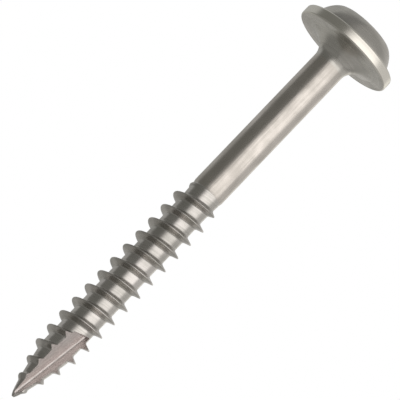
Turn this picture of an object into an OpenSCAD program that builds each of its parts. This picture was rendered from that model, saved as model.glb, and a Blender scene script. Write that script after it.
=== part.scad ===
// Round washer-head wood screw with a square drive, a part-threaded shank and an auger point.
// Millimetres. The origin is the centre of the bearing face under the head, and +Z runs along
// the axis from the head to the point, so the screw stands on its head.

/* [Overall] */
// Length from the bearing face to the tip
length = 44.15; // [32:0.05:80]

/* [Head] */
// Diameter of the washer flange
flange_d = 10.3; // [8.4:0.1:14]
// Thickness of the washer flange
flange_t = 1.05; // [0.6:0.05:1.5]
// Edge radius of the washer flange's rim
rim_r = 0.2; // [0.05:0.05:0.2]
// Width of the flange's ledge round the dome
ledge_w = 0.95; // [0.4:0.05:1.2]
// Width of the flat seat of the bearing face, inside the rim
seat_w = 0.8; // [0.2:0.05:1.2]
// Height of the dome above the flange
dome_h = 1.95; // [1.2:0.05:3.5]
// Diameter of the flat land on top of the dome
land_d = 5.8; // [4.4:0.1:6.4]
// Fullness of the dome's shoulder: 1 is a straight cone, 2 is an ellipse
dome_full = 1.5; // [1.1:0.1:2.4]

/* [Drive] */
// Width across the flats of the square recess at its mouth
drive_w = 2.8; // [2:0.1:3]
// Depth of the square recess
drive_depth = 2.2; // [1.2:0.1:2.4]
// Width of the recess floor as a share of its mouth
drive_draft = 0.9; // [0.8:0.01:1]

/* [Shank] */
// Diameter of the smooth shank
shank_d = 3.3; // [2.8:0.05:4.2]
// Height of the flare that runs from the bearing face into the shank
neck_h = 1.9; // [0.3:0.1:3]
// Length of the small step at the end of the shank
step_len = 0.25; // [0.1:0.05:1]
// Depth of the small step at the end of the shank
step_h = 0.06; // [0.02:0.01:0.12]

/* [Thread] */
// Outside diameter of the thread
thread_d = 4.45; // [3.6:0.05:6]
// Diameter of the core between the thread ridges
root_d = 3; // [2.4:0.05:3.8]
// Axial distance from one ridge to the next
pitch = 1.69; // [1.2:0.01:3]
// Length of the threaded part, measured from the tip
thread_len = 25.8; // [16:0.2:28]
// Width of the ridge where it leaves the core
ridge_w = 0.66; // [0.4:0.02:0.9]
// Width of the ridge at its crest
crest_w = 0.08; // [0.04:0.01:0.2]
// Length over which the ridge fades out and the core widens towards the shank
runout = 1.7; // [0.5:0.1:4]
// Direction, round the axis, that the ridge would face at the tip
thread_turn = 36; // [0:1:359]

/* [Point] */
// Length over which the core narrows to the tip
taper_len = 5.5; // [4:0.1:8.4]
// Radius of the blunt tip
tip_r = 0.1; // [0.04:0.01:0.2]
// Bluntness of the taper: 1 is a straight cone
taper_power = 0.7; // [0.5:0.05:1]
// Length of bare core in front of the first ridge
bare_tip = 0.3; // [0.1:0.1:2]
// Length over which the ridge grows to its full height behind the bare core
ridge_grow = 7.4; // [3:0.1:8]
// Length of the flute's inner corner, measured from the tip
flute_len = 8.5; // [5:0.1:12]
// Distance that the flute's inner corner keeps in front of the axis
flute_depth = 0.2; // [0:0.05:0.8]
// Distance that the flute's inner corner keeps beside the axis at the tip
flute_side = 0.15; // [-0.5:0.05:0.5]
// Angle by which the flute runs askew to the axis
flute_skew = 8; // [0:0.1:12]
// Direction that the flute's wide wall faces, round the axis
flute_turn = 217; // [0:1:359]
// Slant of the flute's end across its wide wall
flute_slant = 20; // [0:1:45]
// Slope with which the flute's end runs out of the core
flute_slope = 25; // [0:1:45]

/* [Hidden] */
$fn = 96;

// Radii
shank_r = shank_d / 2;
dome_r = flange_d / 2 - ledge_w;
land_r = land_d / 2;
root_r = root_d / 2;
thread_r = thread_d / 2;
ridge_full = thread_r - root_r;

// Width of the flare where it leaves the bearing face
neck_w = flange_d / 2 - rim_r - seat_w - shank_r;

// Length of the section that the flute is cut in, with the run-out of its sloping end
point_len = flute_len + thread_r * tan(flute_slope);

// Places along the axis
flange_z = -flange_t;
land_z = flange_z - dome_h;
thread_z = length - thread_len;
point_z = length - point_len;
taper_z = length - taper_len;
bare_z = length - bare_tip;

// How finely curves are drawn
dome_steps = 14;
arc_steps = 8;
turn_steps = 20;
gap_steps = 9;
flank_steps = 4;
over = 0.01;

// A shade for each section
steel = [0.66, 0.63, 0.59];
bright_steel = [0.72, 0.70, 0.66];
shaded_steel = [0.58, 0.55, 0.51];

function clamp(x) = min(1, max(0, x));

// ---- head ----

// Outline of the dome from the flange to the land, as [radius, height above the flange]
function dome_outline() = [
    for (i = [0:dome_steps])
        let (a = 90 * i / dome_steps)
        [
            land_r + (dome_r - land_r) * pow(cos(a), 2 / dome_full),
            dome_h * pow(sin(a), 2 / dome_full)
        ]
];

// Points of an arc round c with radii rx and ry, from angle a0 to angle a1
function arc(c, rx, ry, a0, a1) = [
    for (i = [0:arc_steps])
        let (a = a0 + (a1 - a0) * i / arc_steps)
        c + [rx * cos(a), ry * sin(a)]
];

// The square socket, cut upwards from the land
module drive_recess() {
    translate([0, 0, land_z - over])
        linear_extrude(height = drive_depth + over, scale = drive_draft)
            square(drive_w, center = true);
}

module head_dome() {
    color(steel)
        difference() {
            translate([0, 0, flange_z])
                mirror([0, 0, 1])
                    rotate_extrude()
                        polygon(concat([[0, 0]], dome_outline(), [[0, dome_h]]));
            drive_recess();
        }
}

module washer_flange() {
    rim = flange_d / 2 - rim_r;
    color(bright_steel)
        difference() {
            rotate_extrude()
                polygon(concat(
                    [[0, flange_z]],
                    arc([rim, flange_z + rim_r], rim_r, rim_r, -90, 0),
                    arc([rim, -rim_r], rim_r, rim_r, 0, 90),
                    arc([shank_r + neck_w, neck_h], neck_w, neck_h, 270, 180),
                    [[0, neck_h]]
                ));
            drive_recess();
        }
}

// ---- shank ----

module shank() {
    color(bright_steel)
        rotate_extrude()
            polygon([
                [0, neck_h],
                [shank_r, neck_h],
                [shank_r, thread_z - step_len],
                [shank_r - step_h, thread_z],
                [0, thread_z]
            ]);
}

// ---- thread ----

// Radius of the core at height z
function core_r(z) =
    z <= taper_z ? root_r + (shank_r - step_h - root_r) * (1 - clamp((z - thread_z) / runout))
    : tip_r + (root_r - tip_r) * pow(clamp((length - z) / taper_len), taper_power);

// Height of the ridge above the core at height z
function ridge_h(z) =
    ridge_full
    * clamp((z - thread_z) / runout)
    * pow(clamp((bare_z - z) / ridge_grow), taper_power);

// One turn of the outline, as [share of the pitch, share of the ridge's height], with the
// ridge's crest at a share of 0
function ridge_outline() =
    let (
        foot = ridge_w / pitch / 2,
        flank = (ridge_w - crest_w) / pitch / 2,
        gap = 1 - ridge_w / pitch
    )
    concat(
        [for (i = [0:flank_steps]) [-foot + flank * i / flank_steps, i / flank_steps]],
        [for (i = [flank_steps:-1:0]) [foot - flank * i / flank_steps, i / flank_steps]],
        [for (i = [1:gap_steps - 1]) [foot + gap * i / gap_steps, 0]]
    );

// One ring of the threaded surface: the outline wrapped round the axis, turned by the
// right-hand helix
function ring(z) = [
    for (p = ridge_outline())
        let (
            a = thread_turn + 360 * (p[0] - (length - z) / pitch),
            r = core_r(z) + ridge_h(z) * p[1]
        )
        [r * cos(a), r * sin(a), z]
];

// A closed solid of the threaded surface between heights z0 and z1
module threaded_solid(z0, z1) {
    rings = ceil((z1 - z0) / pitch * turn_steps);
    size = len(ridge_outline());
    points = [for (k = [0:rings]) each ring(z0 + (z1 - z0) * k / rings)];
    side = [
        for (k = [0:rings - 1], j = [0:size - 1])
            let (a = k * size + j, b = k * size + (j + 1) % size)
            each [[a, a + size, b], [b, a + size, b + size]]
    ];
    ends = [
        [for (j = [0:size - 1]) j],
        [for (j = [size - 1:-1:0]) rings * size + j]
    ];
    polyhedron(points = points, faces = concat(side, ends));
}

module thread() {
    color(steel)
        threaded_solid(thread_z, point_z);
}

// ---- point ----

// A square-cornered slot, askew to the axis, whose inner corner passes in front of the tip.
// Its end slants across the wide wall and slopes out of the core.
module flute() {
    reach = thread_d;
    translate([flute_side, -flute_depth, length])
        rotate([0, flute_skew, 0])
            rotate([0, 0, flute_turn])
                difference() {
                    translate([0, 0, -flute_len - reach])
                        cube([reach, reach, flute_len + 2 * reach]);
                    translate([0, 0, -flute_len])
                        rotate([flute_slant, flute_slope, 0])
                            translate([-2 * reach, -2 * reach, -3 * reach])
                                cube([4 * reach, 4 * reach, 3 * reach]);
                }
}

module auger_point() {
    color(shaded_steel)
        difference() {
            threaded_solid(point_z, length);
            flute();
        }
}

head_dome();
washer_flange();
shank();
thread();
auger_point();
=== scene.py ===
"""A washer-head wood screw with smooth steel surfaces, on a pale lit table."""

import logging
import math
from collections.abc import Callable, Iterator
from contextlib import contextmanager
from dataclasses import dataclass, field
from enum import Enum

import bpy
from mathutils import Euler, Matrix, Vector


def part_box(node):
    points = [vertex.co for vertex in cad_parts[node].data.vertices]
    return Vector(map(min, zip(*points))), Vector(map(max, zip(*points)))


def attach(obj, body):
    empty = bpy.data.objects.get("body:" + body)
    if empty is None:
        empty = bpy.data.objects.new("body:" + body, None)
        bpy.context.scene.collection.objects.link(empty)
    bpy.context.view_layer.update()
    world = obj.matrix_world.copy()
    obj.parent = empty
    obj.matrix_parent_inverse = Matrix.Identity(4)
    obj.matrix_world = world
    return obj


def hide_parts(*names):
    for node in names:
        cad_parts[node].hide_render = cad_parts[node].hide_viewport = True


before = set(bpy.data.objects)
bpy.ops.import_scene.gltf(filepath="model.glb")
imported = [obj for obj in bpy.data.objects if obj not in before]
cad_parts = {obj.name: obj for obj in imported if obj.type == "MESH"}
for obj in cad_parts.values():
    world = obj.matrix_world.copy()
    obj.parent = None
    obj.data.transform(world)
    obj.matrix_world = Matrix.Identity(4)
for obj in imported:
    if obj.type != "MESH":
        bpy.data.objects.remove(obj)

LOG = logging.getLogger("wood_screw")

# The shop works in millimetres, and the frame is in metres
MM = 0.001
# Finest length that still counts as two points, in millimetres
TOUCH = 1e-4


# ---------------------------------------------------------------- shader maths


class Number:
    """A number that varies over a surface: a shader socket with arithmetic."""

    def __init__(self, graph: "Graph", socket: bpy.types.NodeSocket) -> None:
        """Wraps a socket.

        Args:
            graph: The node graph that the socket is in.
            socket: The output socket that carries the number.
        """
        self.graph = graph
        self.socket = socket

    def _with(self, operation: str, *others: "Number | float") -> "Number":
        """Adds a Math node on this number.

        Args:
            operation: The Math node's operation.
            *others: The node's other inputs.

        Returns:
            The node's result.
        """
        return self.graph.maths(operation, self, *others)

    def __add__(self, other: "Number | float") -> "Number":
        """Returns self + other."""
        return self._with("ADD", other)

    def __radd__(self, other: float) -> "Number":
        """Returns other + self."""
        return self._with("ADD", other)

    def __sub__(self, other: "Number | float") -> "Number":
        """Returns self - other."""
        return self._with("SUBTRACT", other)

    def __rsub__(self, other: float) -> "Number":
        """Returns other - self."""
        return self.graph.maths("SUBTRACT", other, self)

    def __mul__(self, other: "Number | float") -> "Number":
        """Returns self * other."""
        return self._with("MULTIPLY", other)

    def __rmul__(self, other: float) -> "Number":
        """Returns other * self."""
        return self._with("MULTIPLY", other)

    def __truediv__(self, other: "Number | float") -> "Number":
        """Returns self / other."""
        return self._with("DIVIDE", other)

    def __pow__(self, other: "Number | float") -> "Number":
        """Returns self ** other."""
        return self._with("POWER", other)

    def __neg__(self) -> "Number":
        """Returns -self."""
        return self._with("MULTIPLY", -1.0)


Input = Number | bpy.types.NodeSocket | float | tuple[float, ...]
Colour = bpy.types.NodeSocket | tuple[float, float, float]


class Graph:
    """The nodes of one material or world."""

    def __init__(self, tree: bpy.types.NodeTree) -> None:
        """Empties a node tree and takes it over.

        Args:
            tree: The node tree to fill.
        """
        self.tree = tree
        tree.nodes.clear()

    def node(
        self,
        kind: str,
        settings: dict[str, object] | None = None,
        values: dict[str | int, Input] | None = None,
    ) -> bpy.types.Node:
        """Adds a node.

        Args:
            kind: The node's type, such as ShaderNodeMath.
            settings: Properties set on the node before its sockets.
            values: Socket values or links, by socket name or number.

        Returns:
            The new node.
        """
        made = self.tree.nodes.new(kind)
        for key, value in (settings or {}).items():
            setattr(made, key, value)
        for key, value in (values or {}).items():
            self._feed(made.inputs[key], value)
        return made

    def _feed(self, socket: bpy.types.NodeSocket, value: Input) -> None:
        """Links or sets one input socket.

        Args:
            socket: The input socket.
            value: A number wrapper, a socket or a plain value.
        """
        if isinstance(value, Number):
            self.tree.links.new(value.socket, socket)
        elif isinstance(value, bpy.types.NodeSocket):
            self.tree.links.new(value, socket)
        else:
            socket.default_value = value

    def maths(self, operation: str, *values: Number | float) -> Number:
        """Adds a Math node.

        Args:
            operation: The node's operation.
            *values: Its inputs, in order.

        Returns:
            The node's result.
        """
        made = self.node(
            "ShaderNodeMath", {"operation": operation}, dict(enumerate(values))
        )
        return Number(self, made.outputs[0])

    def step(self, value: Number, start: float, end: float) -> Number:
        """Rises smoothly from 0 at start to 1 at end.

        Args:
            value: The number to map.
            start: Where the result is 0.
            end: Where the result is 1.

        Returns:
            The smoothed step.
        """
        made = self.node(
            "ShaderNodeMapRange",
            {"interpolation_type": "SMOOTHSTEP"},
            {"Value": value, "From Min": start, "From Max": end},
        )
        return Number(self, made.outputs["Result"])

    def band(self, value: Number, low: float, high: float, soft: float) -> Number:
        """Is 1 between low and high and 0 outside, with soft edges.

        Args:
            value: The number to map.
            low: Where the band starts.
            high: Where the band ends.
            soft: The width of each edge, centred on low and high.

        Returns:
            The band.
        """
        half = soft / 2
        rise = self.step(value, low - half, low + half)
        return rise * (1 - self.step(value, high - half, high + half))

    def axes(self, vector: bpy.types.NodeSocket) -> tuple[Number, Number, Number]:
        """Splits a vector.

        Args:
            vector: The socket that carries the vector.

        Returns:
            Its X, Y and Z.
        """
        made = self.node("ShaderNodeSeparateXYZ", values={0: vector})
        x, y, z = (Number(self, made.outputs[i]) for i in range(3))
        return x, y, z

    def vector(self, x: Input, y: Input, z: Input) -> bpy.types.NodeSocket:
        """Joins three numbers.

        Args:
            x: The first number.
            y: The second number.
            z: The third number.

        Returns:
            The socket that carries the vector.
        """
        return self.node("ShaderNodeCombineXYZ", values={0: x, 1: y, 2: z}).outputs[0]

    def noise(
        self, place: bpy.types.NodeSocket, scale: float, detail: float = 2.0
    ) -> Number:
        """Adds smooth noise from about 0 to about 1.

        Args:
            place: The place to read the noise at.
            scale: The noise's frequency.
            detail: How many finer layers it has.

        Returns:
            The noise.
        """
        made = self.node(
            "ShaderNodeTexNoise",
            values={"Vector": place, "Scale": scale, "Detail": detail},
        )
        return Number(self, made.outputs[0])

    def blend(self, factor: Number, low: Colour, high: Colour) -> bpy.types.NodeSocket:
        """Mixes two colours.

        Args:
            factor: 0 for the low colour and 1 for the high one.
            low: The first colour.
            high: The second colour.

        Returns:
            The socket that carries the mixed colour.
        """
        made = self.node(
            "ShaderNodeMix",
            {"data_type": "RGBA", "clamp_factor": True},
            {"Factor": factor},
        )
        for socket, colour in ((made.inputs[6], low), (made.inputs[7], high)):
            if isinstance(colour, bpy.types.NodeSocket):
                self._feed(socket, colour)
            else:
                socket.default_value = (*colour, 1.0)
        return made.outputs[2]


# ---------------------------------------------------------------- bench work


def clear_bench() -> None:
    """Leaves edit mode and deselects everything."""
    if bpy.context.object and bpy.context.object.mode != "OBJECT":
        bpy.ops.object.mode_set(mode="OBJECT")
    bpy.ops.object.select_all(action="DESELECT")


def hold(piece: bpy.types.Object) -> None:
    """Makes a piece the only one selected.

    Args:
        piece: The piece to hold.
    """
    clear_bench()
    bpy.context.view_layer.objects.active = piece
    piece.select_set(True)


@contextmanager
def editing(piece: bpy.types.Object, kind: str = "VERT") -> Iterator[bpy.types.Mesh]:
    """Opens a piece in edit mode, with all of it selected.

    Args:
        piece: The piece to edit.
        kind: What is selected: VERT, EDGE or FACE.

    Yields:
        The piece's mesh.
    """
    hold(piece)
    bpy.ops.object.mode_set(mode="EDIT")
    bpy.ops.mesh.select_mode(type=kind)
    bpy.ops.mesh.select_all(action="SELECT")
    yield piece.data
    bpy.ops.object.mode_set(mode="OBJECT")


def pick_edges(piece: bpy.types.Object, wanted: Callable[[Vector, Vector], bool]) -> None:
    """Selects some edges of a piece that is open in edit mode.

    Args:
        piece: The piece.
        wanted: Says of an edge's two ends whether the edge is wanted.
    """
    bpy.ops.mesh.select_all(action="DESELECT")
    bpy.ops.object.mode_set(mode="OBJECT")
    mesh = piece.data
    for edge in mesh.edges:
        first, second = (mesh.vertices[i].co for i in edge.vertices)
        edge.select = wanted(first, second)
    bpy.ops.object.mode_set(mode="EDIT")


def face_outward(piece: bpy.types.Object) -> None:
    """Turns all faces of a closed piece outward.

    Args:
        piece: The piece.
    """
    with editing(piece):
        bpy.ops.mesh.normals_make_consistent(inside=False)


def turned(name: str, outline: list[tuple[float, float]], around: int) -> bpy.types.Object:
    """Turns a closed solid: a disc is raised ring by ring along an outline.

    Args:
        name: The piece's name.
        outline: Radius and height of each ring, in millimetres, from the bottom disc up.
        around: How many corners each ring has.

    Returns:
        The new piece, in millimetres.
    """
    clear_bench()
    radius, height = outline[0]
    bpy.ops.mesh.primitive_circle_add(
        vertices=around, radius=radius, fill_type="NGON", location=(0, 0, height)
    )
    piece = bpy.context.object
    piece.name = name
    bpy.ops.object.transform_apply(location=True, rotation=True, scale=True)
    with editing(piece, "FACE"):
        for wider, higher in outline[1:]:
            bpy.ops.mesh.extrude_region_move(
                TRANSFORM_OT_translate={"value": (0, 0, higher - height)}
            )
            ratio = wider / radius
            bpy.ops.transform.resize(
                value=(ratio, ratio, 1), center_override=(0, 0, higher)
            )
            radius, height = wider, higher
    face_outward(piece)
    return piece


def cut_away(piece: bpy.types.Object, cutter: bpy.types.Object) -> None:
    """Cuts one solid out of another and clears the cutter away.

    Args:
        piece: The solid that is cut.
        cutter: The solid that cuts.
    """
    hold(piece)
    cut = piece.modifiers.new("cut", "BOOLEAN")
    cut.operation = "DIFFERENCE"
    cut.solver = "EXACT"
    cut.object = cutter
    bpy.ops.object.modifier_apply(modifier=cut.name)
    bpy.data.objects.remove(cutter, do_unlink=True)


def part_off(piece: bpy.types.Object, height: float, keep_above: bool) -> None:
    """Cuts a piece square across its axis and closes the cut.

    Args:
        piece: The piece to cut.
        height: Height of the cut, in millimetres.
        keep_above: Whether the part above the cut stays.
    """
    with editing(piece):
        bpy.ops.mesh.bisect(
            plane_co=(0, 0, height),
            plane_no=(0, 0, 1),
            use_fill=True,
            clear_inner=keep_above,
            clear_outer=not keep_above,
            threshold=TOUCH,
        )


def arc(
    centre: tuple[float, float], rx: float, ry: float, start: float, end: float, steps: int
) -> list[tuple[float, float]]:
    """Gives points on an arc.

    Args:
        centre: The arc's centre, as radius and height.
        rx: Its radius across the axis.
        ry: Its radius along the axis.
        start: Its first angle, in degrees.
        end: Its last angle, in degrees.
        steps: How many chords it is drawn with.

    Returns:
        The points, first to last.
    """
    turns = [math.radians(start + (end - start) * i / steps) for i in range(steps + 1)]
    return [(centre[0] + rx * math.cos(a), centre[1] + ry * math.sin(a)) for a in turns]


# ---------------------------------------------------------------- flute


@dataclass(frozen=True)
class Flute:
    """The square-cornered flute in the point's side.

    Attributes:
        tip_z: Height of the screw's tip.
        length: Length of the flute's inner corner.
        depth: Distance that the inner corner keeps in front of the axis.
        side: Distance that it keeps beside the axis at the tip.
        skew: Angle by which the flute runs askew, in degrees.
        faces: Direction that the wide wall faces, in degrees.
        slant: Slant of the flute's end across its wide wall, in degrees.
        slope: Slope with which the flute's end runs out, in degrees.
        corner: Radius of the flute's inner corner.
    """

    tip_z: float
    length: float = 8.5
    depth: float = 0.2
    side: float = 0.15
    skew: float = 8.0
    faces: float = 217.0
    slant: float = 20.0
    slope: float = 25.0
    corner: float = 0.2

    def place(self) -> Matrix:
        """Finds the flute's place in the screw, with its inner corner along Z.

        Returns:
            The turn and shift from the flute's own place to the screw's.
        """
        return (
            Matrix.Translation((self.side, -self.depth, self.tip_z))
            @ Matrix.Rotation(math.radians(self.skew), 4, "Y")
            @ Matrix.Rotation(math.radians(self.faces), 4, "Z")
        )

    def end(self) -> Vector:
        """Returns the direction that the flute's end faces, in the flute's own place."""
        tilt = Euler((math.radians(self.slant), math.radians(self.slope), 0), "XYZ")
        return tilt.to_matrix() @ Vector((0, 0, 1))

    def walls(self) -> list[tuple[Vector, float]]:
        """Gives the planes of the two walls and the end.

        Returns:
            For each plane, its direction and its distance from the screw's origin.
        """
        place = self.place()
        turn = place.to_3x3()
        foot = place @ Vector((0, 0, -self.length))
        ways = [turn @ Vector((1, 0, 0)), turn @ Vector((0, 1, 0)), turn @ self.end()]
        return [(way, way.dot(foot)) for way in ways]

    def cutter(self, reach: float) -> bpy.types.Object:
        """Models the square bar that cuts the flute, with a slanted end.

        Args:
            reach: How wide the bar is, in millimetres.

        Returns:
            The cutter, in millimetres.
        """
        clear_bench()
        tall = self.length + 2 * reach
        bpy.ops.mesh.primitive_cube_add(size=1, location=(reach / 2, reach / 2, reach - tall / 2))
        cutter = bpy.context.object
        cutter.scale = (reach, reach, tall)
        bpy.ops.object.transform_apply(location=True, rotation=True, scale=True)
        with editing(cutter, "EDGE"):
            pick_edges(cutter, lambda a, b: max(a.xy.length, b.xy.length) < TOUCH)
            bpy.ops.mesh.bevel(offset=self.corner, segments=6, affect="EDGES")
            bpy.ops.mesh.select_all(action="SELECT")
            bpy.ops.mesh.bisect(
                plane_co=(0, 0, -self.length),
                plane_no=self.end(),
                use_fill=True,
                clear_inner=True,
                threshold=TOUCH,
            )
        face_outward(cutter)
        cutter.matrix_world = self.place()
        hold(cutter)
        bpy.ops.object.transform_apply(location=True, rotation=True, scale=True)
        return cutter


# ---------------------------------------------------------------- finishes


class Marks(Enum):
    """Which way the marks of making run on a surface."""

    DRAWN = "along the axis"
    TURNED = "in rings round the axis"
    ROLLED = "along the thread"


# Clean and dull colours of formed and of rolled steel
FORMED = {"bright": (0.765, 0.75, 0.71), "dull": (0.61, 0.60, 0.565)}
ROLLED = {"bright": (0.735, 0.71, 0.69), "dull": (0.57, 0.56, 0.53)}

# Colour, roughness and height of a surface, the height in millimetres
Surface = tuple[bpy.types.NodeSocket, Number, Number]


@dataclass(frozen=True)
class Steel:
    """Bare or zinc-bright steel with the marks of how it was made.

    Attributes:
        name: The material's name.
        marks: Which way its marks run.
        bright: Colour of the clean metal.
        dull: Colour of the duller patches.
        gloss: Roughness of the clean metal.
        matt: Roughness of the duller patches.
        depth: Height of the marks, in millimetres.
        fine: How many marks there are in about a millimetre.
        wave: Height of the broad waves among the marks, in millimetres.
        broad: How many broad waves there are in about a millimetre.
        patchy: How many patches there are in about a millimetre.
        grainy: How many grains there are in about a millimetre.
        pitch: Distance between the thread's ridges, in millimetres.
    """

    name: str
    marks: Marks
    bright: tuple[float, float, float] = (0.78, 0.74, 0.70)
    dull: tuple[float, float, float] = (0.62, 0.59, 0.55)
    gloss: float = 0.2
    matt: float = 0.34
    depth: float = 0.006
    fine: float = 5.0
    wave: float = 0.0
    broad: float = 1.4
    patchy: float = 0.55
    grainy: float = 4.0
    pitch: float = 1.69

    def material(self) -> bpy.types.Material:
        """Builds the material.

        Returns:
            The new material.
        """
        made = bpy.data.materials.new(self.name)
        made.use_nodes = True
        g = Graph(made.node_tree)
        place = g.node("ShaderNodeTexCoord").outputs["Object"]
        scaled = g.node(
            "ShaderNodeVectorMath", {"operation": "SCALE"}, {0: place, "Scale": 1 / MM}
        ).outputs[0]
        x, y, z = g.axes(scaled)
        radius = (x * x + y * y + 1e-4) ** 0.5
        lines = self._lines(g, x, y, z, radius)
        cloud = g.noise(scaled, self.patchy, 3.0)
        grain = g.noise(scaled, self.grainy, 2.0)
        patch = g.step(cloud * 0.6 + lines * 0.4, 0.35, 0.68)
        colour = g.blend(patch, self.dull, self.bright)
        rough = self.matt + (self.gloss - self.matt) * patch + grain * 0.06 - 0.03
        waves = g.noise(g.vector(radius * self.broad, z * self.broad, x * 0.06), 1.0, 1.0)
        height = lines * self.depth + grain * (self.depth * 0.4) + waves * self.wave
        colour, rough, height = self._worked(g, (x, y, z), (colour, rough, height))
        bump = g.node(
            "ShaderNodeBump",
            values={"Strength": 1.0, "Distance": MM, "Height": height},
        )
        shader = g.node(
            "ShaderNodeBsdfPrincipled",
            values={
                "Metallic": 1.0,
                "Base Color": colour,
                "Roughness": rough,
                "Normal": bump.outputs[0],
            },
        )
        g.node("ShaderNodeOutputMaterial", values={"Surface": shader.outputs[0]})
        return made

    def _worked(
        self, g: Graph, place: tuple[Number, Number, Number], surface: Surface
    ) -> Surface:
        """Adds later work on the surface; plain steel has none.

        Args:
            g: The material's graph.
            place: Place along X, Y and Z, in millimetres.
            surface: The surface's colour, roughness and height.

        Returns:
            The changed colour, roughness and height.
        """
        return surface

    def _lines(
        self, g: Graph, x: Number, y: Number, z: Number, radius: Number
    ) -> Number:
        """Draws the marks of making.

        Args:
            g: The material's graph.
            x: Place along X, in millimetres.
            y: Place along Y, in millimetres.
            z: Place along the axis, in millimetres.
            radius: Distance from the axis, in millimetres.

        Returns:
            The marks' height, from about 0 to about 1.
        """
        if self.marks is Marks.TURNED:
            return g.noise(g.vector(radius, z, 0.0), self.fine, 3.0)
        if self.marks is Marks.DRAWN:
            along = g.vector(x / radius * 1.6, y / radius * 1.6, z * 0.06)
            return g.noise(along, self.fine, 3.0)
        turn = g.maths("ARCTAN2", y, x) - z * (2 * math.pi / self.pitch)
        wrap = self.pitch / (2 * math.pi)
        spun = g.vector(g.maths("COSINE", turn) * wrap, g.maths("SINE", turn) * wrap, z * 0.04)
        return g.noise(spun, self.fine * 1.5, 3.0)


@dataclass(frozen=True)
class HighlitRimSteel(Steel):
    """Steel with a painted highlight on its rim: the rim is painted a brighter colour and given a
    glossier finish.

    Attributes:
        past: Radius past which the rim highlight is painted, in millimetres.
        rim_highlight: Colour of the painted rim highlight.
        sheen: Roughness of the glossier rim.
    """

    past: float = 5.0
    # Painted highlight: the brighter colour painted on the rim
    rim_highlight: tuple[float, float, float] = (0.90, 0.88, 0.82)
    sheen: float = 0.24

    def _worked(
        self, g: Graph, place: tuple[Number, Number, Number], surface: Surface
    ) -> Surface:
        """Paints a highlight on the rim and makes the rim glossier.

        Args:
            g: The material's graph.
            place: Place along X, Y and Z, in millimetres.
            surface: The surface's colour, roughness and height.

        Returns:
            The changed colour, roughness and height.
        """
        x, y, _ = place
        colour, rough, height = surface
        # Painted highlight on the rim: past the rim's start the colour is painted brighter and
        # the finish is made glossier
        rim = g.step((x * x + y * y + 1e-4) ** 0.5, self.past, self.past + 0.15)
        return (
            g.blend(rim, colour, self.rim_highlight),
            rough + (self.sheen - rough) * rim,
            height,
        )


@dataclass(frozen=True)
class FlutedSteel(Steel):
    """Rolled steel with a flute cut in it afterwards.

    Attributes:
        flute: The flute.
        cut: Colour of the cut walls.
        torn: Colour of the walls where the cut tore.
        shorn: Roughness of the cut walls.
    """

    flute: Flute | None = None
    cut: tuple[float, float, float] = (0.78, 0.73, 0.715)
    torn: tuple[float, float, float] = (0.67, 0.62, 0.605)
    shorn: float = 0.42

    def _worked(
        self, g: Graph, place: tuple[Number, Number, Number], surface: Surface
    ) -> Surface:
        """Gives the flute's walls their cut finish.

        Args:
            g: The material's graph.
            place: Place along X, Y and Z, in millimetres.
            surface: The rolled surface's colour, roughness and height.

        Returns:
            The changed colour, roughness and height.
        """
        x, y, z = place
        colour, rough, height = surface
        gaps = [x * way.x + y * way.y + z * way.z - far for way, far in self.flute.walls()]
        inside = g.maths("MINIMUM", g.maths("MINIMUM", gaps[0], gaps[1]), gaps[2])
        cut = g.step(inside, -0.03, -0.01)
        tears = g.noise(g.vector(gaps[0] * 5.0, gaps[1] * 5.0, z * 1.2), 1.0, 2.0)
        shade = g.blend(g.step(tears, 0.3, 0.7), self.torn, self.cut)
        return (
            g.blend(cut, colour, shade),
            rough + (self.shorn - rough) * cut,
            height + (tears * 0.02 - height) * cut,
        )


# ---------------------------------------------------------------- sections


@dataclass
class Sizes:
    """Sizes of the screw in millimetres, read from the frame.

    Attributes:
        head_top: Height of the land on top of the dome, below the bearing face.
        dome_r: Radius of the dome at the flange.
        flange_z: Height of the flange's face that carries the dome.
        flange_r: Radius of the flange.
        neck_z: Height at which the flare meets the shank.
        shank_r: Radius of the shank.
        thread_z: Height at which the shank ends.
        thread_r: Radius over the thread's ridges.
        point_z: Height at which the auger point starts.
        tip_z: Height of the tip.
    """

    head_top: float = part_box("head_dome")[0][2] / MM
    dome_r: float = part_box("head_dome")[1][0] / MM
    flange_z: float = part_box("washer_flange")[0][2] / MM
    flange_r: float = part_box("washer_flange")[1][0] / MM
    neck_z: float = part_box("shank")[0][2] / MM
    shank_r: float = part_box("shank")[1][0] / MM
    thread_z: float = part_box("thread")[0][2] / MM
    thread_r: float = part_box("thread")[1][0] / MM
    point_z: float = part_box("auger_point")[0][2] / MM
    tip_z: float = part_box("auger_point")[1][2] / MM


@dataclass
class Section:
    """One section of the screw.

    Attributes:
        sizes: The screw's sizes.
        node: The CAD node that the section stands for.
        slot: The record's material slot; not used.
        finish: The section's finish.
        crisp: Angle over which an edge stays crisp, in degrees.
    """

    sizes: Sizes
    node: str
    slot: str
    finish: Steel
    crisp: float = 32.0

    def build(self) -> bpy.types.Object:
        """Models the section in millimetres."""
        raise NotImplementedError

    def dress(self) -> bpy.types.Object:
        """Models the section, gives it its finish and sets it in the frame.

        Returns:
            The finished piece, in metres.
        """
        piece = self.build()
        hold(piece)
        piece.scale = (MM, MM, MM)
        bpy.ops.object.transform_apply(location=True, rotation=True, scale=True)
        bpy.ops.object.shade_smooth_by_angle(angle=math.radians(self.crisp))
        even = piece.modifiers.new("even shading", "WEIGHTED_NORMAL")
        even.keep_sharp = True
        bpy.ops.object.modifier_apply(modifier=even.name)
        piece.data.materials.clear()
        piece.data.materials.append(self.finish.material())
        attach(piece, "root")
        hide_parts(self.node)
        LOG.info("%s: %d faces", piece.name, len(piece.data.polygons))
        return piece


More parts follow.
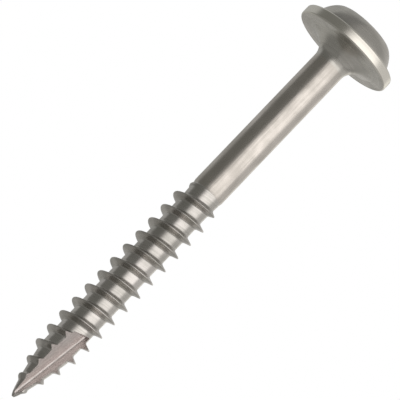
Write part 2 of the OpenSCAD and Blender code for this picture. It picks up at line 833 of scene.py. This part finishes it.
@dataclass
class Drive:
    """The square drive recess.

    Attributes:
        width: Width across the flats at the mouth, in millimetres.
        depth: Depth, in millimetres.
        draft: Width of its floor as a share of the mouth's.
        corner: Radius of its upright corners, in millimetres.
    """

    width: float = 2.8
    depth: float = 2.2
    draft: float = 0.9
    corner: float = 0.18

    def cutter(self, mouth: float) -> bpy.types.Object:
        """Models the solid that cuts the recess.

        Args:
            mouth: Height of the recess's mouth, in millimetres.

        Returns:
            The cutter, in millimetres.
        """
        clear_bench()
        over = 0.2
        tall = self.depth + over
        bpy.ops.mesh.primitive_cube_add(size=1, location=(0, 0, mouth - over + tall / 2))
        cutter = bpy.context.object
        cutter.scale = (self.width, self.width, tall)
        bpy.ops.object.transform_apply(location=True, rotation=True, scale=True)
        floor = mouth + self.depth - TOUCH
        with editing(cutter, "EDGE"):
            pick_edges(cutter, lambda a, b: abs(a.z - b.z) > tall / 2)
            bpy.ops.mesh.bevel(offset=self.corner, segments=5, affect="EDGES")
            pick_edges(cutter, lambda a, b: min(a.z, b.z) > floor)
            bpy.ops.transform.resize(
                value=(self.draft, self.draft, 1), center_override=(0, 0, floor)
            )
        return cutter


@dataclass
class HeadDome(Section):
    """The low dome of the head, with the drive recess.

    Attributes:
        drive: The recess.
        land_r: Radius of the flat land on top.
        full: Fullness of the dome's shoulder.
        disc: Width of the disc that the rings are raised from, as a share of the land's.
        rings: How many rings the shoulder is raised in.
        around: How many corners a ring has.
    """

    drive: Drive = field(default_factory=Drive)
    land_r: float = 2.9
    full: float = 1.5
    disc: float = 0.7
    rings: int = 40
    around: int = 160

    def build(self) -> bpy.types.Object:
        """Models the dome upside down, from its land to the flange.

        Returns:
            The piece, in millimetres.
        """
        s = self.sizes
        tall = s.flange_z - s.head_top
        outline = [(self.land_r * self.disc, s.head_top)]
        for i in range(self.rings + 1):
            a = math.radians(90 - 90 * i / self.rings)
            reach = math.cos(a) ** (2 / self.full) if i else 0.0
            rise = math.sin(a) ** (2 / self.full) if i < self.rings else 0.0
            radius = self.land_r + (s.dome_r - self.land_r) * reach
            outline.append((radius, s.flange_z - tall * rise))
        piece = turned("head_dome_steel", outline, self.around)
        cut_away(piece, self.drive.cutter(s.head_top))
        return piece


@dataclass
class WasherFlange(Section):
    """The thin round flange with the flare that runs into the shank.

    Attributes:
        drive: The recess, whose floor is in the flange.
        rim: Edge radius of the rim.
        seat: Width of the flat seat between the flare and the rim.
        disc: Width of the disc that the rings are raised from, as a share of the face's.
        around: How many corners a ring has.
    """

    drive: Drive = field(default_factory=Drive)
    rim: float = 0.2
    seat: float = 0.8
    disc: float = 0.6
    around: int = 192

    def build(self) -> bpy.types.Object:
        """Models the flange.

        Returns:
            The piece, in millimetres.
        """
        s = self.sizes
        edge = s.flange_r - self.rim
        flare = edge - self.seat - s.shank_r
        outline = [
            (edge * self.disc, s.flange_z),
            *arc((edge, s.flange_z + self.rim), self.rim, self.rim, -90, 0, 10),
            *arc((edge, -self.rim), self.rim, self.rim, 0, 90, 10),
            *arc((s.shank_r + flare, s.neck_z), flare, s.neck_z, 270, 180, 32),
        ]
        piece = turned("washer_flange_steel", outline, self.around)
        cut_away(piece, self.drive.cutter(s.head_top))
        return piece


@dataclass
class Shank(Section):
    """The smooth shank, with the small step at its end.

    Attributes:
        step: Length of the small step.
        step_h: Depth of the small step.
        rings: How many rings the straight length is raised in.
        around: How many corners a ring has.
    """

    step: float = 0.25
    step_h: float = 0.06
    rings: int = 24
    around: int = 128

    def build(self) -> bpy.types.Object:
        """Models the shank.

        Returns:
            The piece, in millimetres.
        """
        s = self.sizes
        shoulder = s.thread_z - self.step
        straight = [
            (s.shank_r, s.neck_z + (shoulder - s.neck_z) * i / self.rings)
            for i in range(self.rings + 1)
        ]
        end = (s.shank_r - self.step_h, s.thread_z)
        return turned("shank_steel", [*straight, end], self.around)


@dataclass
class Thread:
    """The single right-hand ridge and its core, over thread and point alike.

    Attributes:
        sizes: The screw's sizes.
        core_r: Radius of the core.
        pitch: Distance from one ridge to the next.
        foot: Width of the ridge where it leaves the core.
        crest: Width of the ridge at its crest.
        runout: Length over which the ridge fades out and the core widens at the shank.
        step_h: Depth of the small step at the end of the shank.
        taper: Length over which the core narrows to the tip.
        power: Bluntness of the taper.
        tip_r: Radius of the blunt tip.
        bare: Length of bare core in front of the ridge.
        grow: Length over which the ridge grows behind the bare core.
        faces: Direction that the ridge would face at the tip, in degrees.
        around: How many steps a turn has.
    """

    sizes: Sizes
    core_r: float = 1.5
    pitch: float = 1.69
    foot: float = 0.66
    crest: float = 0.08
    runout: float = 1.7
    step_h: float = Shank.step_h
    taper: float = 5.5
    power: float = 0.7
    tip_r: float = 0.1
    bare: float = 0.3
    grow: float = 7.4
    faces: float = 36.0
    around: int = 96

    def core_at(self, z: float) -> float:
        """Gives the core's radius.

        Args:
            z: Height, in millimetres.

        Returns:
            The radius, in millimetres.
        """
        share = (self.sizes.tip_z - z) / self.taper
        if share >= 1:
            near = 1 - min(1.0, max(0.0, (z - self.sizes.thread_z) / self.runout))
            return self.core_r + (self.sizes.shank_r - self.step_h - self.core_r) * near
        return self.tip_r + (self.core_r - self.tip_r) * max(0.0, share) ** self.power

    def ridge_at(self, z: float) -> float:
        """Gives the ridge's height over the core.

        Args:
            z: Height, in millimetres.

        Returns:
            The ridge's height, in millimetres.
        """
        s = self.sizes
        fade = min(1.0, max(0.0, (z - s.thread_z) / self.runout))
        grown = min(1.0, max(0.0, (s.tip_z - self.bare - z) / self.grow)) ** self.power
        return (s.thread_r - self.core_r) * fade * grown

    def outline(self) -> list[tuple[float, float]]:
        """Gives one pitch of the surface, from a gap's middle to the next one's.

        Returns:
            Height within the pitch and share of the ridge's height, for each point.
        """
        half, top = self.foot / 2, self.crest / 2
        # Heights up the flank, and how far it bows from straight at each: out at the foot,
        # slightly hollow half-way, and rounded at the crest
        flank = [0.0, 0.03, 0.09, 0.2, 0.4, 0.6, 0.8, 0.93, 0.985, 1.0]
        bow = [1.22, 1.1, 1.02, 0.97, 0.96, 0.97, 0.99, 1.0, 0.96, 0.55]
        rise = []
        for share, ease in zip(flank, bow):
            off = top + (half - top) * (1 - share)
            rise.append((-off * ease, share))
        gap = (self.pitch - self.foot) / 2
        floor = [(-self.pitch / 2 + gap * 0.82 * i / 6, 0.0) for i in range(6)]
        left = floor + rise
        return left + [(0.0, 1.0)] + [(-z, share) for z, share in reversed(left)]

    def body(self, name: str, low: float, high: float) -> bpy.types.Object:
        """Models the threaded surface between two heights.

        Args:
            name: The piece's name.
            low: The lower height, in millimetres.
            high: The upper height, in millimetres.

        Returns:
            The closed piece, in millimetres.
        """
        s = self.sizes
        clear_bench()
        bpy.ops.mesh.primitive_plane_add(size=1, location=(0, 0, 0))
        piece = bpy.context.object
        piece.name = name
        full = s.thread_r - self.core_r
        # The ridge faces +X at this height and at every whole pitch below it
        facing = s.tip_z - self.pitch * self.faces / 360
        turns = math.ceil((facing - low) / self.pitch) + 1
        start = facing - turns * self.pitch
        points = [(self.core_r + full * share, start + z) for z, share in self.outline()]
        with editing(piece):
            bpy.ops.mesh.merge(type="CENTER")
            bpy.ops.transform.translate(value=(points[0][0], 0, points[0][1]))
            for (r0, z0), (r1, z1) in zip(points, points[1:]):
                bpy.ops.mesh.extrude_region_move(
                    TRANSFORM_OT_translate={"value": (r1 - r0, 0, z1 - z0)}
                )
        wind = piece.modifiers.new("wind", "SCREW")
        wind.axis = "Z"
        wind.angle = 2 * math.pi
        wind.screw_offset = self.pitch
        wind.iterations = math.ceil((high - low) / self.pitch) + 4
        wind.steps = wind.render_steps = self.around
        wind.use_merge_vertices = True
        wind.merge_threshold = TOUCH
        bpy.ops.object.modifier_apply(modifier=wind.name)
        with editing(piece):
            bpy.ops.mesh.remove_doubles(threshold=TOUCH)
        part_off(piece, low, keep_above=True)
        part_off(piece, high, keep_above=False)
        self.shape(piece)
        face_outward(piece)
        return piece

    def shape(self, piece: bpy.types.Object) -> None:
        """Tapers the core and lets the ridge grow and fade, by moving each point in or out.

        Args:
            piece: The straight threaded piece, in millimetres.
        """
        full = self.sizes.thread_r - self.core_r
        for vertex in piece.data.vertices:
            x, y, z = vertex.co
            radius = math.hypot(x, y)
            share = min(1.0, max(0.0, (radius - self.core_r) / full))
            wanted = self.core_at(z) + self.ridge_at(z) * share
            vertex.co = (x * wanted / radius, y * wanted / radius, z)


@dataclass
class ThreadedLength(Section):
    """The threaded length at full depth.

    Attributes:
        thread: The ridge and core.
    """

    thread: Thread | None = None

    def build(self) -> bpy.types.Object:
        """Models the threaded length.

        Returns:
            The piece, in millimetres.
        """
        s = self.sizes
        return self.thread.body("thread_steel", s.thread_z, s.point_z)


@dataclass
class AugerPoint(Section):
    """The tapering point with its flute.

    Attributes:
        thread: The ridge and core.
        flute: The flute.
    """

    thread: Thread | None = None
    flute: Flute | None = None

    def build(self) -> bpy.types.Object:
        """Models the point and cuts its flute.

        Returns:
            The piece, in millimetres.
        """
        s = self.sizes
        piece = self.thread.body("auger_point_steel", s.point_z, s.tip_z)
        cut_away(piece, self.flute.cutter(2 * s.thread_r))
        return piece


# ---------------------------------------------------------------- studio


@dataclass(frozen=True)
class SoftPanel:
    """A soft light panel, placed by the direction in which it stands.

    Attributes:
        turn: Its middle, in degrees round the screw from the viewer towards -X.
        rise: Its middle, in degrees above the horizon.
        half_turn: Half its width, in degrees.
        half_rise: Half its height, in degrees.
        soft: Width of its soft edge, in degrees.
        glow: How bright it is.
        tint: Its colour.
    """

    turn: float
    rise: float
    half_turn: float
    half_rise: float
    soft: float
    glow: float
    tint: tuple[float, float, float] = (1.0, 1.0, 1.0)


@dataclass
class Studio:
    """Table, light panels and camera.

    Attributes:
        sizes: The screw's sizes.
        tilt: How far the screw's point leans towards the camera, in degrees.
        roll: How far the camera is rolled, in degrees.
        width: Width of the view at the aim, in millimetres.
        aim: The point in the middle of the view, in millimetres.
        away: Distance from the aim to the camera, in millimetres.
        gap: Distance between the head and the table, in millimetres.
        shade: Colour of the room between the panels.
        panels: The light panels.
    """

    sizes: Sizes
    tilt: float = 12.0
    roll: float = -136.25
    width: float = 36.34
    aim: tuple[float, float, float] = (0.029, -0.023, 19.207)
    away: float = 500.0
    gap: float = 0.02
    shade: tuple[float, float, float] = (0.155, 0.153, 0.140)
    panels: tuple[SoftPanel, ...] = (
        # Dim ceiling on the left
        SoftPanel(-90, 60, 100, 45, 20, 0.21, (1.0, 0.98, 0.92)),
        # Ceiling on the right
        SoftPanel(90, 60, 85, 42, 30, 0.37, (1.0, 0.97, 0.93)),
        # Dim floor on the left
        SoftPanel(-90, -62, 100, 30, 16, 0.21, (1.0, 0.98, 0.95)),
        # Floor on the right
        SoftPanel(75, -62, 110, 32, 24, 0.35, (1.0, 0.97, 0.93)),
        # Floor behind on the right
        SoftPanel(150, -50, 40, 25, 24, 0.50, (1.0, 0.97, 0.93)),
        # Wall on the right
        SoftPanel(125, -10, 62, 28, 20, 0.55, (1.0, 0.97, 0.93)),
        # Small lamp behind on the right
        SoftPanel(150, -4, 14, 18, 16, 0.85, (1.0, 0.97, 0.90)),
        # Wall behind on the left
        SoftPanel(-145, -36, 44, 52, 24, 0.40, (1.0, 0.99, 0.95)),
        # Wall behind
        SoftPanel(190, 20, 45, 26, 20, 0.37, (1.0, 0.98, 0.92)),
        # The large soft lamp beside the viewer
        SoftPanel(32, -7, 46, 24, 44, 1.32, (1.0, 0.965, 0.93)),
    )

    def light(self) -> None:
        """Surrounds the screw with a dim room and its soft panels."""
        world = bpy.data.worlds.new("studio")
        bpy.context.scene.world = world
        world.use_nodes = True
        g = Graph(world.node_tree)
        x, y, z = g.axes(g.node("ShaderNodeTexCoord").outputs["Generated"])
        degrees = 180 / math.pi
        turn = g.maths("ARCTAN2", -x, -y) * degrees
        rise = g.maths("ARCSINE", z) * degrees
        total = g.vector(*self.shade)
        for panel in self.panels:
            off = g.maths("WRAP", turn - panel.turn, 180.0, -180.0)
            inside = g.band(off, -panel.half_turn, panel.half_turn, panel.soft)
            level = g.band(
                rise, panel.rise - panel.half_rise, panel.rise + panel.half_rise, panel.soft
            )
            lit = inside * level * panel.glow
            scaled = g.node(
                "ShaderNodeVectorMath", {"operation": "SCALE"}, {0: panel.tint, "Scale": lit}
            )
            total = g.node(
                "ShaderNodeVectorMath", {"operation": "MAXIMUM"}, {0: total, 1: scaled.outputs[0]}
            ).outputs[0]
        room = g.node("ShaderNodeBackground", values={"Color": total, "Strength": 1.0})
        plain = g.node(
            "ShaderNodeBackground", values={"Color": (1.0, 1.0, 1.0, 1.0), "Strength": 1.0}
        )
        seen = g.node("ShaderNodeLightPath").outputs["Is Camera Ray"]
        both = g.node(
            "ShaderNodeMixShader", values={0: seen, 1: room.outputs[0], 2: plain.outputs[0]}
        )
        g.node("ShaderNodeOutputWorld", values={"Surface": both.outputs[0]})

    def table(self) -> bpy.types.Object:
        """Lays a pale lit table under the head.

        Returns:
            The table.
        """
        clear_bench()
        height = (self.sizes.head_top - self.gap) * MM
        bpy.ops.mesh.primitive_plane_add(size=4, location=(0, 0, height))
        table = bpy.context.object
        table.name = "table"
        made = bpy.data.materials.new("lit table")
        made.use_nodes = True
        g = Graph(made.node_tree)
        glow = g.node("ShaderNodeEmission", values={"Color": (1, 1, 1, 1), "Strength": 1.0})
        g.node("ShaderNodeOutputMaterial", values={"Surface": glow.outputs[0]})
        table.data.materials.append(made)
        table.visible_glossy = False
        table.visible_diffuse = False
        table.visible_shadow = False
        return table

    def camera(self) -> bpy.types.Object:
        """Sets the camera in front of the screw, above the table.

        Returns:
            The camera.
        """
        data = bpy.data.cameras.new("camera")
        data.sensor_width = 36.0
        data.lens = data.sensor_width * self.away / self.width
        away = self.away * MM
        data.clip_start = away * 0.2
        data.clip_end = away * 8
        camera = bpy.data.objects.new("camera", data)
        bpy.context.scene.collection.objects.link(camera)
        lean = math.radians(self.tilt)
        towards = Vector((0, -math.cos(lean), math.sin(lean)))
        turn = towards.to_track_quat("Z", "Y").to_matrix().to_4x4()
        turn = turn @ Matrix.Rotation(math.radians(self.roll), 4, "Z")
        spot = Vector(self.aim) * MM + towards * away
        camera.matrix_world = Matrix.Translation(spot) @ turn
        bpy.context.scene.camera = camera
        return camera

    def set_up(self) -> None:
        """Sets up camera, light and table, and a plain view of the colours."""
        self.camera()
        self.light()
        self.table()
        view = bpy.context.scene.view_settings
        view.view_transform = "Standard"
        view.look = "None"


def main() -> None:
    """Builds the studio and then the screw, from head to point."""
    logging.basicConfig(level=logging.INFO, format="%(message)s")
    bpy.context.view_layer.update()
    sizes = Sizes()
    Studio(sizes).set_up()
    thread = Thread(sizes)
    flute = Flute(sizes.tip_z)
    rim_start = sizes.flange_r - WasherFlange.rim
    sections: list[Section] = [
        HeadDome(
            sizes,
            "head_dome",
            "head_steel",
            Steel("head steel", Marks.TURNED, **FORMED),
        ),
        WasherFlange(
            # The flange's rim carries a painted highlight
            sizes,
            "washer_flange",
            "flange_steel",
            HighlitRimSteel("flange steel", Marks.TURNED, **FORMED, wave=0.05, past=rim_start),
        ),
        Shank(sizes, "shank", "shank_steel", Steel("shank steel", Marks.DRAWN)),
        ThreadedLength(
            sizes,
            "thread",
            "thread_steel",
            Steel("thread steel", Marks.ROLLED, **ROLLED),
            thread=thread,
        ),
        AugerPoint(
            sizes,
            "auger_point",
            "point_steel",
            FlutedSteel("point steel", Marks.ROLLED, **ROLLED, flute=flute),
            thread=thread,
            flute=flute,
        ),
    ]
    for section in sections:
        section.dress()


if __name__ == "__main__":
    main()
